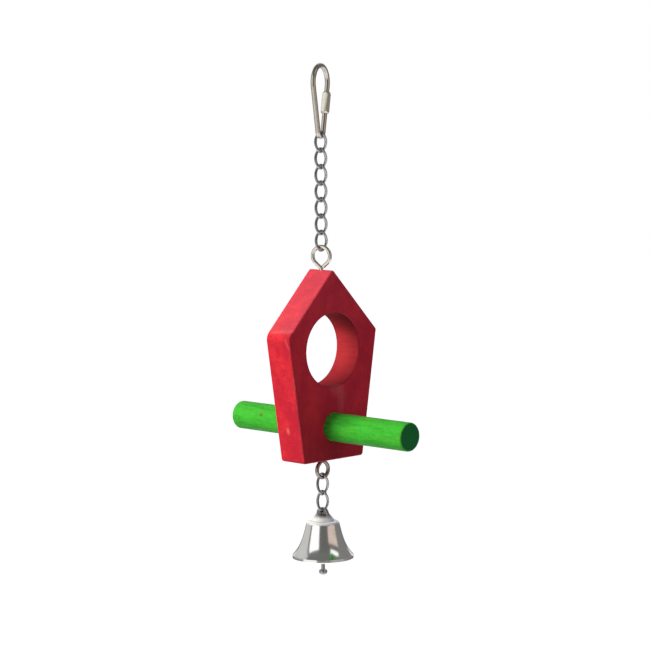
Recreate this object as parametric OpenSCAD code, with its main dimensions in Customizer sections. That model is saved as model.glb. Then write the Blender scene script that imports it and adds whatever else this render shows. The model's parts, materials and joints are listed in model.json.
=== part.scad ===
// Hanging bird play gym: a house-shaped board of stained wood with a round
// climbing hole and a perch through it. A twisted curb chain hangs it from
// a pear-shaped quick link, and two more links carry a small bell below.
// Sizes are millimetres. +Z is up, the board's front face looks along -Y
// and the perch runs along Y. The origin is the inner top of the pear
// link's bow, the point that the whole toy hangs from.

/* [House board] */
// Height of the board from its base to its ridge
board_h = 79.7; // [64:0.1:110]
// Drop from the ridge to the eaves
eaves_drop = 26.3; // [18:0.1:36]
// Width across the eaves
eaves_w = 52.7; // [44:0.1:75]
// Width of the base
base_w = 35.2; // [26:0.1:60]
// Thickness of the board
board_t = 13.8; // [9:0.1:20]
// Radius sanded along the arrises of both faces
arris_r = 0.8; // [0.3:0.1:1]
// Radius of the five corners in the front view
corner_r = 1.3; // [1.1:0.1:3]
// Diameter of the climbing hole
hole_d = 31; // [22:0.2:36]
// Drop from the ridge to the middle of the climbing hole
hole_drop = 33.4; // [29:0.1:36]
// Chamfer at both mouths of the climbing hole
hole_chamfer = 0.6; // [0.2:0.1:1.5]

/* [Perch] */
// Diameter of the perch dowel
perch_d = 12; // [8:0.5:15]
// Length of the perch dowel
perch_len = 99.4; // [60:0.2:140]
// How far the dowel is set off towards the front
perch_shift = 0.5; // [0:0.1:5]
// Height of the perch's axis above the base
perch_rise = 14; // [12:0.1:18]
// Radius rounded on both ends of the dowel
perch_end_r = 0.9; // [0.3:0.1:2]
// Clearance round the dowel in the board
perch_play = 0.05; // [0.02:0.01:0.2]
// Diameter of the brad that pins the dowel
brad_d = 1.2; // [0.8:0.1:1.5]
// Diameter of the brad's head
brad_head_d = 2; // [1.7:0.1:3]
// Thickness of the brad's head
brad_head_t = 0.6; // [0.4:0.1:1]
// Depth that the brad's head is set below the side of the board
brad_sink = 0.3; // [0.2:0.05:0.8]
// Depth that the brad bites into the dowel
brad_bite = 5; // [2:0.5:7]
// Clearance round the brad
brad_play = 0.04; // [0.02:0.01:0.1]

/* [Screw eyes] */
// Wire of both screw eyes
eye_wire = 1.7; // [1.2:0.1:1.8]
// Radius of the top eye at the middle of its wire
top_eye_r = 3.9; // [3.4:0.1:6]
// Distance from the top eye's round to the point of its neck
top_eye_neck = 1.25; // [0.9:0.05:3]
// Turn of the top eye away from the board's face
top_eye_turn = -68; // [-90:1:-60]
// Wood left between the top eye's point and the climbing hole
top_eye_cover = 4.2; // [2:0.1:8]
// Radius of the bottom eye at the middle of its wire
bottom_eye_r = 3.3; // [3:0.1:5]
// Distance from the bottom eye's round to the point of its neck
bottom_eye_neck = 1.1; // [0.8:0.05:3]
// Wood left between the bottom eye's point and the perch
bottom_eye_cover = 1.5; // [0.8:0.1:3]
// Radius of the bend from a neck into its shank
eye_bend = 1.1; // [1.05:0.05:1.5]
// Gap between the end of the bent wire and the neck
eye_gap = 0.25; // [0.1:0.05:0.5]
// Length of the tapered point of a shank
eye_point = 2; // [1:0.1:3]
// Diameter of the blunt tip of a shank
eye_tip_d = 0.3; // [0.2:0.05:0.6]
// Clearance round a shank in the wood and under a neck
eye_play = 0.05; // [0.02:0.01:0.15]

/* [Curb chain] */
// Wire of the chain links
link_wire = 1.2; // [0.9:0.05:1.5]
// Pitch of the upper links
link_pitch = 6.86; // [6:0.02:9]
// Pitch of the two lower links
lower_pitch = 7.4; // [6.4:0.05:9]
// Twist from one end of a link to the other
link_twist = 90; // [60:1:100]
// Squareness of a link's oval, 2 for an ellipse
link_square = 2.5; // [2.3:0.1:3]
// Side play of the thickest wire inside a link
link_play = 0.45; // [0.45:0.05:0.8]
// Clearance between two wires where they cross
wire_gap = 0.15; // [0.08:0.01:0.25]

/* [Pear link] */
// Wire of the pear link
pear_wire = 2.2; // [1.6:0.1:2.6]
// Outer length of the pear link
pear_len = 31.6; // [28:0.2:42]
// Outer width of the bow
pear_bow_w = 16.4; // [13:0.1:18]
// Outer width of the foot
pear_foot_w = 7.4; // [6.8:0.1:8.5]
// Turn of the pear link away from the board's face
pear_turn = 20; // [0:1:20]
// Gap in the threaded leg
gate_gap = 3; // [2:0.1:4]
// Length of the sleeve nut
nut_len = 9.1; // [7:0.1:10]
// Width of the sleeve nut across its flats
nut_flats = 3.3; // [3.2:0.1:4.2]
// Turn of the nut's flats on its leg
nut_turn = 22; // [0:1:60]
// Height of the taper at both ends of the sleeve nut
nut_taper = 0.9; // [0.3:0.1:1.5]
// Wall of the sleeve nut at its ends
nut_lip = 0.3; // [0.15:0.05:0.5]
// Drop from the hanging point to the middle of the nut
nut_drop = 14.4; // [13:0.1:15]
// Clearance between the nut and the threaded leg
nut_play = 0.08; // [0.04:0.01:0.15]

/* [Bell] */
// Diameter of the rim
bell_d = 25.8; // [22:0.2:32]
// Height of the bell from its rim to its flat top
bell_h = 16.1; // [13:0.1:20]
// Diameter of the flat top
bell_top_d = 10.6; // [9.6:0.1:12]
// Diameter where the rounded shoulder meets the waist
bell_waist_d = 14.3; // [12.5:0.1:16]
// Height of the rounded shoulder
bell_shoulder_h = 1.7; // [1:0.1:3]
// Height of the straight lip
bell_lip_h = 1.5; // [0.8:0.1:3]
// Share of the waist's flare that is a straight cone
bell_slope = 0.56; // [0.2:0.02:0.9]
// How late the rest of the flare turns out
bell_flare = 3.5; // [2:0.1:5]
// Wall of the bell
bell_wall = 0.8; // [0.5:0.05:1.2]
// Height of the crown on the bell
crown_h = 5.7; // [5.4:0.1:8]
// Diameter of the crown's flange
crown_d = 9.5; // [8:0.1:9.6]
// Height of the flange's straight edge
flange_h = 0.6; // [0.3:0.1:1]
// Width of the crown's lug
lug_w = 6.4; // [5:0.1:7]
// Thickness of the crown's lug
lug_t = 1.4; // [1:0.05:1.6]
// Metal above the hole in the lug
lug_strap = 0.95; // [0.7:0.05:1.2]
// Diameter of the hole in the lug
lug_hole_d = 2.8; // [2.6:0.1:3.2]
// Clearance over the link in the lug's hole
lug_play = 0.4; // [0.35:0.05:0.6]

/* [Clapper] */
// Wire of the two small eyes that hang the clapper
clapper_wire = 0.9; // [0.7:0.05:1.1]
// Radius of the two small eyes at the middle of their wire
clapper_eye_r = 1.5; // [1.4:0.05:2]
// Diameter of the stem that holds the crown and the staple to the bell
stem_d = 1.2; // [1.15:0.05:1.6]
// Height that the stem reaches into the crown
stem_reach = 1.5; // [0.8:0.1:1.8]
// Length of the stem showing under the bell's ceiling
stem_drop = 0.6; // [0.4:0.1:2]
// Clearance round the stem and under the crown
bell_play = 0.05; // [0.02:0.01:0.15]
// Diameter of the clapper's rod
rod_d = 1.6; // [1.2:0.1:2]
// Distance from the rim down to the tip of the clapper
clapper_reach = 7; // [4:0.1:12]
// Diameter of the clapper's head
head_d = 3.5; // [3:0.1:6]
// Height of the clapper's head
head_h = 2.2; // [1.8:0.1:4]
// Radius rounded on the clapper's head
head_r = 0.8; // [0.3:0.1:0.9]
// Depth of the rod's seat in the head
head_seat = 1.2; // [0.6:0.1:1.4]
// Clearance of the rod in the head
head_play = 0.03; // [0.02:0.01:0.1]

/* [Hidden] */
$fn = 64;

// Number of links between the pear link and the board
upper_links = 7;
// Rings along one link and sides round its wire
link_rings = 44;
link_sides = 10;
// Steps of a rounded corner, of an arris and of each of the bell's curves
corner_steps = 4;
arris_steps = 3;
round_steps = 6;
flare_steps = 14;
// Distance that a cutting tool passes the face that it cuts
cut = 1;
// Length that a straight wire runs into a bend, and how much thicker the bend is
run_in = 0.1;
bend_swell = 0.03;

// Pear link, from the inner top of its bow down
bow_r = (pear_bow_w - pear_wire) / 2;
foot_r = (pear_foot_w - pear_wire) / 2;
bow_z = pear_wire / 2 - bow_r;
foot_z = 3 / 2 * pear_wire - pear_len + foot_r;
leg_lean = asin((bow_r - foot_r) / (bow_z - foot_z));
leg_len = (bow_z - foot_z) * cos(leg_lean);
// Where the right leg leaves the bow, and how far down it the nut's middle lies
leg_x = bow_r * cos(leg_lean);
leg_z = bow_z - bow_r * sin(leg_lean);
nut_at = (leg_z + nut_drop) / cos(leg_lean);

// Half width and half height of a link's middle line
thick_wire = max(pear_wire, eye_wire, link_wire);
link_half_w = (link_wire + thick_wire) / 2 + link_play;
link_half_h = (link_pitch + link_wire + wire_gap) / 2;
lower_half_h = (lower_pitch + link_wire + wire_gap) / 2;
first_link_z = foot_z - foot_r + (pear_wire + link_wire) / 2 + wire_gap - link_half_h;
function upper_link_z(i) = first_link_z - (i - 1) * link_pitch;

// Top eye and the board below it
eye_hook = (link_wire + eye_wire) / 2 + wire_gap;
top_eye_z = upper_link_z(upper_links) - link_half_h + eye_hook - top_eye_r;
ridge_z = top_eye_z - eye_stand(top_eye_r, top_eye_neck);
base_z = ridge_z - board_h;
eaves_z = ridge_z - eaves_drop;
hole_z = ridge_z - hole_drop;
perch_z = base_z + perch_rise;
top_shank = hole_drop - hole_d / 2 - top_eye_cover;
bottom_shank = perch_rise - perch_d / 2 - perch_play - bottom_eye_cover;
// Half width of the board at the height of the perch
side_x = base_w / 2 + (eaves_w - base_w) / 2 * perch_rise / (board_h - eaves_drop);
// Outline of the front view, with a ridge that its rounding brings to ridge_z
roof_half = atan2(eaves_w / 2, eaves_drop);
sharp_ridge_z = ridge_z + corner_r * (1 / sin(roof_half) - 1);
outline = [
    [0, sharp_ridge_z],
    [-eaves_w / 2, eaves_z],
    [-base_w / 2, base_z],
    [base_w / 2, base_z],
    [eaves_w / 2, eaves_z]
];
corners = len(outline);

// Bottom eye, the two links below it and the bell
bottom_eye_z = base_z - eye_stand(bottom_eye_r, bottom_eye_neck);
lower_1_z = bottom_eye_z - bottom_eye_r + eye_hook - lower_half_h;
lower_2_z = lower_1_z - lower_pitch;
lug_hole_z = lower_2_z - lower_half_h + link_wire / 2 + lug_play - lug_hole_d / 2;
neck_z = lug_hole_z - lug_hole_d / 2;
crown_top_z = lug_hole_z + lug_hole_d / 2 + lug_strap;
crown_foot_z = crown_top_z - crown_h;
bell_top_z = crown_foot_z - bell_play;
rim_z = bell_top_z - bell_h;
ceiling_z = bell_top_z - bell_wall;
staple_z = ceiling_z - stem_drop - clapper_wire / 2 - clapper_eye_r;
rod_eye_z = staple_z - 2 * clapper_eye_r + clapper_wire + wire_gap;
tip_z = rim_z - clapper_reach;

function unit(v) = v / norm(v);

// Power that keeps the sign, for a superellipse
function signed_pow(v, p) = sign(v) * pow(abs(v), p);

// Turn of a link's flat at height u, from -1 at its foot to 1 at its top
function link_turn(u) = -link_twist / 2 * (1 + sin(90 * u));

// Point i of a link's middle line: a flat oval, twisted by its height
function link_point(half_h, i) =
    let (
        t = 360 * i / link_rings,
        across = link_half_w * signed_pow(cos(t), 2 / link_square),
        u = signed_pow(sin(t), 2 / link_square)
    )
    [across * cos(link_turn(u)), across * sin(link_turn(u)), half_h * u];

// Ring i of a link's skin, square to the middle line
function link_ring(half_h, i) =
    let (
        p = link_point(half_h, i),
        along = unit(link_point(half_h, i + 1) - link_point(half_h, i - 1)),
        turn = link_turn(p[2] / half_h),
        flat = [-sin(turn), cos(turn), 0],
        side = unit(flat - (flat * along) * along),
        other = cross(along, side)
    )
    [for (k = [0:link_sides - 1])
        let (a = 360 * k / link_sides)
        p + link_wire / 2 * (cos(a) * side + sin(a) * other)];

// One twisted link, standing on end about the origin
module curb_link(half_h) {
    points = [for (i = [0:link_rings - 1]) each link_ring(half_h, i)];
    faces = [
        for (i = [0:link_rings - 1], k = [0:link_sides - 1])
        let (
            next_i = (i + 1) % link_rings,
            next_k = (k + 1) % link_sides,
            a = i * link_sides + k,
            b = i * link_sides + next_k,
            c = next_i * link_sides + k,
            d = next_i * link_sides + next_k
        )
        each [[a, c, b], [b, c, d]]
    ];
    polyhedron(points, faces, convexity = 6);
}

// An arc of round wire in the XZ plane about the origin
module wire_arc(r, wire, from, span) {
    rotate([90, 0, 0])
        rotate([0, 0, from])
            rotate_extrude(angle = span)
                translate([r, 0])
                    circle(d = wire);
}

// A straight wire between two distances from a point in the XZ plane, leaning
// away from straight up
module wire_leg(x, z, lean, from, to, wire) {
    translate([x, 0, z])
        rotate([0, lean, 0])
            translate([0, 0, from])
                cylinder(d = wire - bend_swell, h = to - from);
}

// A straight round bar that lies along Y, or along X, about the origin
module across_y(d, len) {
    rotate([90, 0, 0])
        cylinder(d = d, h = len, center = true);
}

module across_x(d, len) {
    rotate([0, 90, 0])
        cylinder(d = d, h = len, center = true);
}

// Lean of the two wires in an eye's neck
function neck_lean(r, neck) = asin(r / (r + neck));
// Length of the bend's tangent, from the neck's point to where the wire is straight
function bend_len(lean) = eye_bend * tan(lean / 2);
// Height of an eye's centre over the wood that it is screwed into
function eye_stand(r, neck) = r + neck + bend_len(neck_lean(r, neck)) + eye_play;

// A screw eye about its ring's centre, with its shank pointing down
module screw_eye(r, neck, shank) {
    lean = neck_lean(r, neck);
    neck_len = r / tan(lean);
    fork_x = r * cos(lean);
    fork_z = -r * sin(lean);
    bend_z = -r - neck - bend_len(lean);
    point_z = -eye_stand(r, neck) - shank;
    wire_arc(r, eye_wire, -lean, 180 + 2 * lean);
    // Left side of the neck, bent down into the shank
    wire_leg(-fork_x, fork_z, 180 - lean, -run_in, neck_len - bend_len(lean) + run_in, eye_wire);
    translate([-eye_bend, 0, bend_z])
        wire_arc(eye_bend, eye_wire, 0, lean);
    wire_leg(0, point_z, 0, eye_point, bend_z - point_z + run_in, eye_wire);
    translate([0, 0, point_z])
        cylinder(d1 = eye_tip_d, d2 = eye_wire - bend_swell, h = eye_point);
    // Right side of the neck, cut off just short of the bend
    wire_leg(fork_x, fork_z, 180 + lean, -run_in, neck_len - eye_wire / 2 - eye_gap, eye_wire);
}

// Pilot hole of a shank, from the wood's face at z = 0 downwards
module pilot_hole(shank) {
    translate([0, 0, -shank - eye_play])
        cylinder(d = eye_wire + 2 * eye_play, h = shank + eye_play + cut);
}

// Outward normal of the outline's edge k, from corner k to the next
function edge_normal(k) =
    let (e = outline[(k + 1) % corners] - outline[k % corners])
    unit([e[1], -e[0]]);

// Rounded corner k of the outline, with its edges drawn in by inset
function corner_arc(k, inset) =
    let (
        n = edge_normal(k + corners - 1),
        m = edge_normal(k),
        middle = outline[k] - corner_r * (n + m) / (1 + n * m),
        start = atan2(n[1], n[0]),
        turn = acos(n * m)
    )
    [for (s = [0:corner_steps])
        let (a = start + turn * s / corner_steps)
        middle + (corner_r - inset) * [cos(a), sin(a)]];

// Board before drilling, its arrises rounded in steps
module board_blank() {
    hull()
        for (s = [0:arris_steps]) {
            a = 90 * s / arris_steps;
            inset = arris_r * (1 - cos(a));
            t = board_t - 2 * arris_r * (1 - sin(a));
            rotate([90, 0, 0])
                linear_extrude(t, center = true)
                    polygon([for (k = [0:corners - 1]) each corner_arc(k, inset)]);
        }
}

// The brad's hole through the side of the board and into the dowel
module brad_hole() {
    reach = side_x - perch_d / 2 + brad_bite;
    translate([-side_x, 0, perch_z])
        rotate([0, 90, 0]) {
            cylinder(d = brad_d + 2 * brad_play, h = reach + brad_play);
            translate([0, 0, -cut])
                cylinder(d = brad_head_d + 2 * brad_play, h = cut + brad_sink + brad_head_t + brad_play);
        }
}

// A quarter round in the half plane of a revolve, from its bottom to its side
function quarter(r, z, round_r) =
    [for (s = [0:round_steps])
        let (a = 90 * s / round_steps)
        [r - round_r * (1 - sin(a)), z + round_r * (1 - cos(a))]];

// Half outline of a round bar with both ends rounded, standing on z = 0
function rounded_bar(r, h, round_r) =
    let (low = quarter(r, 0, round_r))
    concat(
        [[0, 0]],
        low,
        [for (s = [round_steps:-1:0]) [low[s][0], h - low[s][1]]],
        [[0, h]]
    );

// Part of the pear link's right leg, between two distances from the bow
module pear_leg(from, to) {
    wire_leg(leg_x, leg_z, 180 + leg_lean, from, to, pear_wire);
}

module pear_link() {
    color("#c8c4bd")
        rotate([0, 0, pear_turn]) {
            translate([0, 0, bow_z])
                wire_arc(bow_r, pear_wire, -leg_lean, 180 + 2 * leg_lean);
            translate([0, 0, foot_z])
                wire_arc(foot_r, pear_wire, 180 + leg_lean, 180 - 2 * leg_lean);
            mirror([1, 0, 0])
                pear_leg(-run_in, leg_len + run_in);
            pear_leg(-run_in, nut_at - gate_gap / 2);
            pear_leg(nut_at + gate_gap / 2, leg_len + run_in);
        }
}

module pear_nut() {
    corner = nut_flats / 2 / cos(30);
    end_r = pear_wire / 2 + nut_play + nut_lip;
    // The taper runs on past the corners of the flats
    past_r = corner + nut_lip;
    past_h = nut_taper * (past_r - end_r) / (corner - end_r);
    color("#d9d4ca")
        rotate([0, 0, pear_turn])
            translate([leg_x, 0, leg_z])
                rotate([0, 180 + leg_lean, 0])
                    translate([0, 0, nut_at - nut_len / 2])
                        difference() {
                            intersection() {
                                rotate([0, 0, nut_turn])
                                    cylinder(r = corner, h = nut_len, $fn = 6);
                                rotate_extrude()
                                    polygon([
                                        [0, 0], [end_r, 0], [past_r, past_h],
                                        [past_r, nut_len - past_h], [end_r, nut_len], [0, nut_len]
                                    ]);
                            }
                            translate([0, 0, -cut])
                                cylinder(d = pear_wire + 2 * nut_play, h = nut_len + 2 * cut);
                        }
}

module upper_link(i) {
    color("#6f6e6c")
        translate([0, 0, upper_link_z(i)])
            curb_link(link_half_h);
}

module lower_link(z) {
    color("#6f6e6c")
        translate([0, 0, z])
            curb_link(lower_half_h);
}

module top_screw_eye() {
    color("#b9b3a8")
        translate([0, 0, top_eye_z])
            rotate([0, 0, top_eye_turn])
                screw_eye(top_eye_r, top_eye_neck, top_shank);
}

module bottom_screw_eye() {
    color("#b9b3a8")
        translate([0, 0, bottom_eye_z])
            rotate([180, 0, 0])
                screw_eye(bottom_eye_r, bottom_eye_neck, bottom_shank);
}

module house_board() {
    color("#d8303c")
        difference() {
            board_blank();
            translate([0, 0, hole_z]) {
                across_y(hole_d, board_t + 2 * cut);
                for (face = [-1, 1])
                    translate([0, face * (board_t / 2 - hole_chamfer), 0])
                        rotate([-90 * face, 0, 0])
                            cylinder(
                                d1 = hole_d,
                                d2 = hole_d + 2 * (hole_chamfer + cut),
                                h = hole_chamfer + cut
                            );
            }
            translate([0, 0, perch_z])
                across_y(perch_d + 2 * perch_play, board_t + 2 * cut);
            translate([0, 0, ridge_z])
                pilot_hole(top_shank);
            translate([0, 0, base_z])
                mirror([0, 0, 1])
                    pilot_hole(bottom_shank);
            brad_hole();
        }
}

module perch_dowel() {
    color("#4fae3c")
        difference() {
            translate([0, perch_len / 2 - perch_shift, perch_z])
                rotate([90, 0, 0])
                    rotate_extrude()
                        polygon(rounded_bar(perch_d / 2, perch_len, perch_end_r));
            brad_hole();
        }
}

module perch_brad() {
    shank = side_x - brad_sink - perch_d / 2 + brad_bite;
    color("#b5b0a6")
        translate([-side_x + brad_sink, 0, perch_z])
            rotate([0, 90, 0]) {
                cylinder(d = brad_head_d, h = brad_head_t);
                cylinder(d = brad_d, h = shank - brad_d);
                translate([0, 0, shank - brad_d])
                    cylinder(d1 = brad_d, d2 = eye_tip_d, h = brad_d);
            }
}

// Half outline of the crown's foot: a flange and a hollow sweep up to the lug
function crown_profile() =
    let (flange_r = crown_d / 2, sweep_z = crown_foot_z + flange_h)
    concat(
        [[0, crown_foot_z], [flange_r, crown_foot_z]],
        [for (s = [0:round_steps])
            let (a = 90 * s / round_steps)
            [
                flange_r - (flange_r - lug_w / 2) * sin(a),
                sweep_z + (neck_z - sweep_z) * (1 - cos(a))
            ]],
        [[0, neck_z]]
    );

// The crown's lug: straight sides under a round top, standing on the flange
module crown_lug() {
    foot_z = crown_foot_z + flange_h;
    arch_z = crown_top_z - lug_w / 2;
    intersection() {
        union() {
            translate([0, 0, arch_z])
                across_x(lug_w, lug_t);
            translate([-lug_t / 2, -lug_w / 2, foot_z])
                cube([lug_t, lug_w, arch_z - foot_z]);
        }
        translate([-lug_w, -lug_w, foot_z])
            cube([2 * lug_w, 2 * lug_w, crown_h]);
    }
}

module bell_crown() {
    color("#cfcdc9")
        difference() {
            union() {
                rotate_extrude()
                    polygon(crown_profile());
                crown_lug();
            }
            translate([0, 0, lug_hole_z])
                across_x(lug_hole_d, lug_t + 2 * cut);
            translate([0, 0, crown_foot_z - cut])
                cylinder(d = stem_d + 2 * bell_play, h = cut + stem_reach + bell_play);
        }
}

// How far the waist has flared out at the share u of its height
function flare(u) = bell_slope * u + (1 - bell_slope) * pow(u, bell_flare);

// Half outline of one side of the bell's wall, drawn in by inset
function bell_side(inset) =
    let (
        top_r = bell_top_d / 2,
        waist_r = bell_waist_d / 2,
        waist_h = bell_h - bell_shoulder_h - bell_lip_h
    )
    concat(
        [for (s = [0:round_steps])
            let (a = 90 * s / round_steps)
            [
                top_r + (waist_r - top_r) * sin(a) - inset * sin(a),
                bell_top_z - bell_shoulder_h * (1 - cos(a)) - inset * cos(a)
            ]],
        [for (s = [1:flare_steps])
            let (u = s / flare_steps)
            [
                waist_r + (bell_d / 2 - waist_r) * flare(u) - inset,
                bell_top_z - bell_shoulder_h - waist_h * u
            ]],
        [[bell_d / 2 - inset, rim_z]]
    );

module bell_shell() {
    outer = bell_side(0);
    inner = bell_side(bell_wall);
    bore_r = stem_d / 2 + bell_play;
    color("#d4d3d1")
        rotate_extrude()
            polygon(concat(
                [[bore_r, bell_top_z]],
                outer,
                [for (s = [len(inner) - 1:-1:0]) inner[s]],
                [[bore_r, ceiling_z]]
            ));
}

module clapper_staple() {
    color("#b0aca4") {
        translate([0, 0, staple_z])
            rotate([0, 0, 90])
                wire_arc(clapper_eye_r, clapper_wire, 0, 360);
        translate([0, 0, staple_z + clapper_eye_r])
            cylinder(d = stem_d, h = crown_foot_z + stem_reach - staple_z - clapper_eye_r);
    }
}

module clapper_rod() {
    rod_foot_z = tip_z + head_h - head_seat;
    color("#b0aca4") {
        translate([0, 0, rod_eye_z])
            wire_arc(clapper_eye_r, clapper_wire, 0, 360);
        translate([0, 0, rod_foot_z])
            cylinder(d = rod_d, h = rod_eye_z - clapper_eye_r - rod_foot_z);
    }
}

module clapper_head() {
    color("#c4c1bb")
        difference() {
            translate([0, 0, tip_z])
                rotate_extrude()
                    polygon(rounded_bar(head_d / 2, head_h, head_r));
            translate([0, 0, tip_z + head_h - head_seat - head_play])
                cylinder(d = rod_d + 2 * head_play, h = head_seat + head_play + cut);
        }
}

pear_link();
pear_nut();
for (i = [1:upper_links])
    upper_link(i);
top_screw_eye();
house_board();
perch_dowel();
perch_brad();
bottom_screw_eye();
lower_link(lower_1_z);  // lower_link_1
lower_link(lower_2_z);  // lower_link_2
bell_crown();
bell_shell();
clapper_staple();
clapper_rod();
clapper_head();
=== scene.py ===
"""Dresses a hanging bird play gym: pear link, curb chain, stained board and perch, and a bell.

Lengths are metres in the part's own frame. +Z is up along the hanging line, the board's front
looks along -Y, the perch runs along Y, and the origin is the inner top of the pear link's bow.
"""

import json
from functools import cached_property
from math import asin, atan2, copysign, cos, pi, radians, sin, tan

import bmesh
import bpy
from bpy.props import FloatProperty, FloatVectorProperty, PointerProperty
from bpy.types import Operator, Panel, PropertyGroup
from mathutils import Matrix, Quaternion, Vector


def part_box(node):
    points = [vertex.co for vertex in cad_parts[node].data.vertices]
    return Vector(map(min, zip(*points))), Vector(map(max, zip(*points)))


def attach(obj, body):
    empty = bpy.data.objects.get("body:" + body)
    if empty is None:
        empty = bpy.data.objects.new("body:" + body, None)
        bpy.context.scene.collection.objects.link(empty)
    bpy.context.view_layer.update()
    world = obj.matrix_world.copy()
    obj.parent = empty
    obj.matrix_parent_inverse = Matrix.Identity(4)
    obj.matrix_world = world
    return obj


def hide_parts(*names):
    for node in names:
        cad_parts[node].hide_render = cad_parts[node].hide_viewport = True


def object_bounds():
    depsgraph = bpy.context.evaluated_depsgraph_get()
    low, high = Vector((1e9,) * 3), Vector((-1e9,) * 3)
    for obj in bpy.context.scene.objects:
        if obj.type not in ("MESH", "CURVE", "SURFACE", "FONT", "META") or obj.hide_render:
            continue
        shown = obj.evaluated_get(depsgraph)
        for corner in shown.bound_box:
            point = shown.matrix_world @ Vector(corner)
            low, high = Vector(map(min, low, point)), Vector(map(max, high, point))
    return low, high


bl_info = {
    "name": "Bird play gym",
    "version": (1, 0, 0),
    "blender": (4, 5, 0),
    "location": "View3D > Sidebar > Play gym",
    "description": "Models and paints a hanging bird play gym and its studio",
    "category": "Add Mesh",
}

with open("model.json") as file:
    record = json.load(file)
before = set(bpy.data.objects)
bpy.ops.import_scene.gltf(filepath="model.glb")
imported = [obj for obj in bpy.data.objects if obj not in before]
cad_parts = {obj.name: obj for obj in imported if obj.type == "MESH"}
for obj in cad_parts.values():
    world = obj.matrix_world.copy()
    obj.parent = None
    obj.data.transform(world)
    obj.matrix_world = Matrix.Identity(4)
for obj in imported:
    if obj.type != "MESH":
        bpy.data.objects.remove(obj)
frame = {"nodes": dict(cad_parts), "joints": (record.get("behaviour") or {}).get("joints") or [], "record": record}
CAD_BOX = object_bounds()

MM = 0.001
X_AXIS = Vector((1, 0, 0))
Y_AXIS = Vector((0, 1, 0))
Z_AXIS = Vector((0, 0, 1))
RECORD = frame["record"]
JOINTS = {joint["name"]: joint for joint in frame["joints"]}
BODIES = RECORD["behaviour"]["bodies"]
HOLE = next(mount for mount in RECORD["mounts"] if mount["name"] == "climbing_hole")
HOLE_Z = HOLE["pos_m"][2]
HOLE_R = HOLE["dims"]["r_mm"] * MM


def number(name, description, value, **how):
    """A number that a user can change."""
    return FloatProperty(name=name, description=description, default=value, **how)


def length(name, description, millimetres):
    """A length that a user can change, given here in millimetres."""
    return number(name, description, millimetres * MM, min=0.0, unit="LENGTH", precision=5)


def angle(name, description, degrees):
    """An angle that a user can change, given here in degrees."""
    return number(name, description, radians(degrees), subtype="ANGLE", unit="ROTATION")


def colour(name, description, *tone):
    """A colour that a user can change, as linear light."""
    return FloatVectorProperty(
        name=name, description=description, default=tone, min=0.0, max=1.0, subtype="COLOR"
    )


class BoardSettings(PropertyGroup):
    """Sizes and stain of the house-shaped board."""

    eaves_drop: length("Eaves drop", "From the ridge to the eaves", 26.3)
    base_width: length("Base width", "Width of the base", 35.2)
    corner: length("Corner radius", "Radius of the other corners", 1.3)
    worn_corner: length("Worn corner radius", "Radius of the left eaves, sanded rounder", 4.5)
    arris: length("Arris radius", "Radius along the edges of both faces", 0.8)
    mouth: length("Mouth radius", "Radius round the climbing hole's mouths", 1.0)
    bore_mouth: length("Bore mouth", "Radius round the mouths of the perch's bore", 0.3)
    stain: colour("Stain", "Red where the stain lies evenly", 0.78, 0.028, 0.040)
    deep: colour("Deep stain", "Red where the stain has soaked in", 0.54, 0.011, 0.030)
    # The climbing hole's wall: drilled wood's duller red, also darkened as painted shade in the hole
    drilled_and_shaded: colour("Drilled wood", "Dull red of the climbing hole's wall", 0.53, 0.034, 0.042)
    # Painted shade: this dark red darkens the top and bottom of the climbing hole and the foot of both faces, and
    # tints the drill streaks
    shade_and_streak: colour("Pooled stain", "Dark red where the stain ran together", 0.10, 0.006, 0.010)
    # Painted sheen: this pink lightens the roof's sawn faces and, a little, the upper part of both faces
    painted_sheen: colour("Bloom", "Cool pink over the roof's sawn faces", 0.88, 0.27, 0.33)
    # This pale tone is worn wood and also a painted light patch under the climbing hole
    wear_and_sheen: colour("Worn wood", "Wood showing along sanded edges", 0.86, 0.26, 0.20)


class PerchSettings(PropertyGroup):
    """Sizes and stain of the perch dowel."""

    end_round: length("End radius", "Radius rounded on both ends", 0.9)
    stain: colour("Stain", "Green where the stain lies evenly", 0.060, 0.52, 0.036)
    # This yellow green is both lighter stain and painted light on the upper side and along the rims
    pale: colour("Pale stain", "Yellow green where less stain took", 0.15, 0.56, 0.030)
    deep: colour("Deep stain", "Green where the stain has soaked in", 0.016, 0.24, 0.018)
    end_grain: colour("End grain", "Dark green of the sawn ends", 0.008, 0.15, 0.040)
    knot: colour("Knot", "Brown of a small knot", 0.12, 0.13, 0.02)


class ChainSettings(PropertyGroup):
    """Sizes and metal of the twisted curb links."""

    wire: length("Wire", "Wire of a link", 1.2)
    half_width: length("Half width", "Half width of a link to its wire's middle", 2.15)
    twist: angle("Twist", "Turn from one end of a link to the other", 90)
    seam: length("Seam", "Depth of the butt joint in a link", 0.07)
    steel: colour("Steel", "Dull plated steel", 0.36, 0.36, 0.35)
    # Painted highlight: a lighter copy of the chain's steel for the links below the board
    lit_steel: colour("Fresh steel", "Brighter steel of the links below the board", 0.38, 0.38, 0.365)


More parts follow.
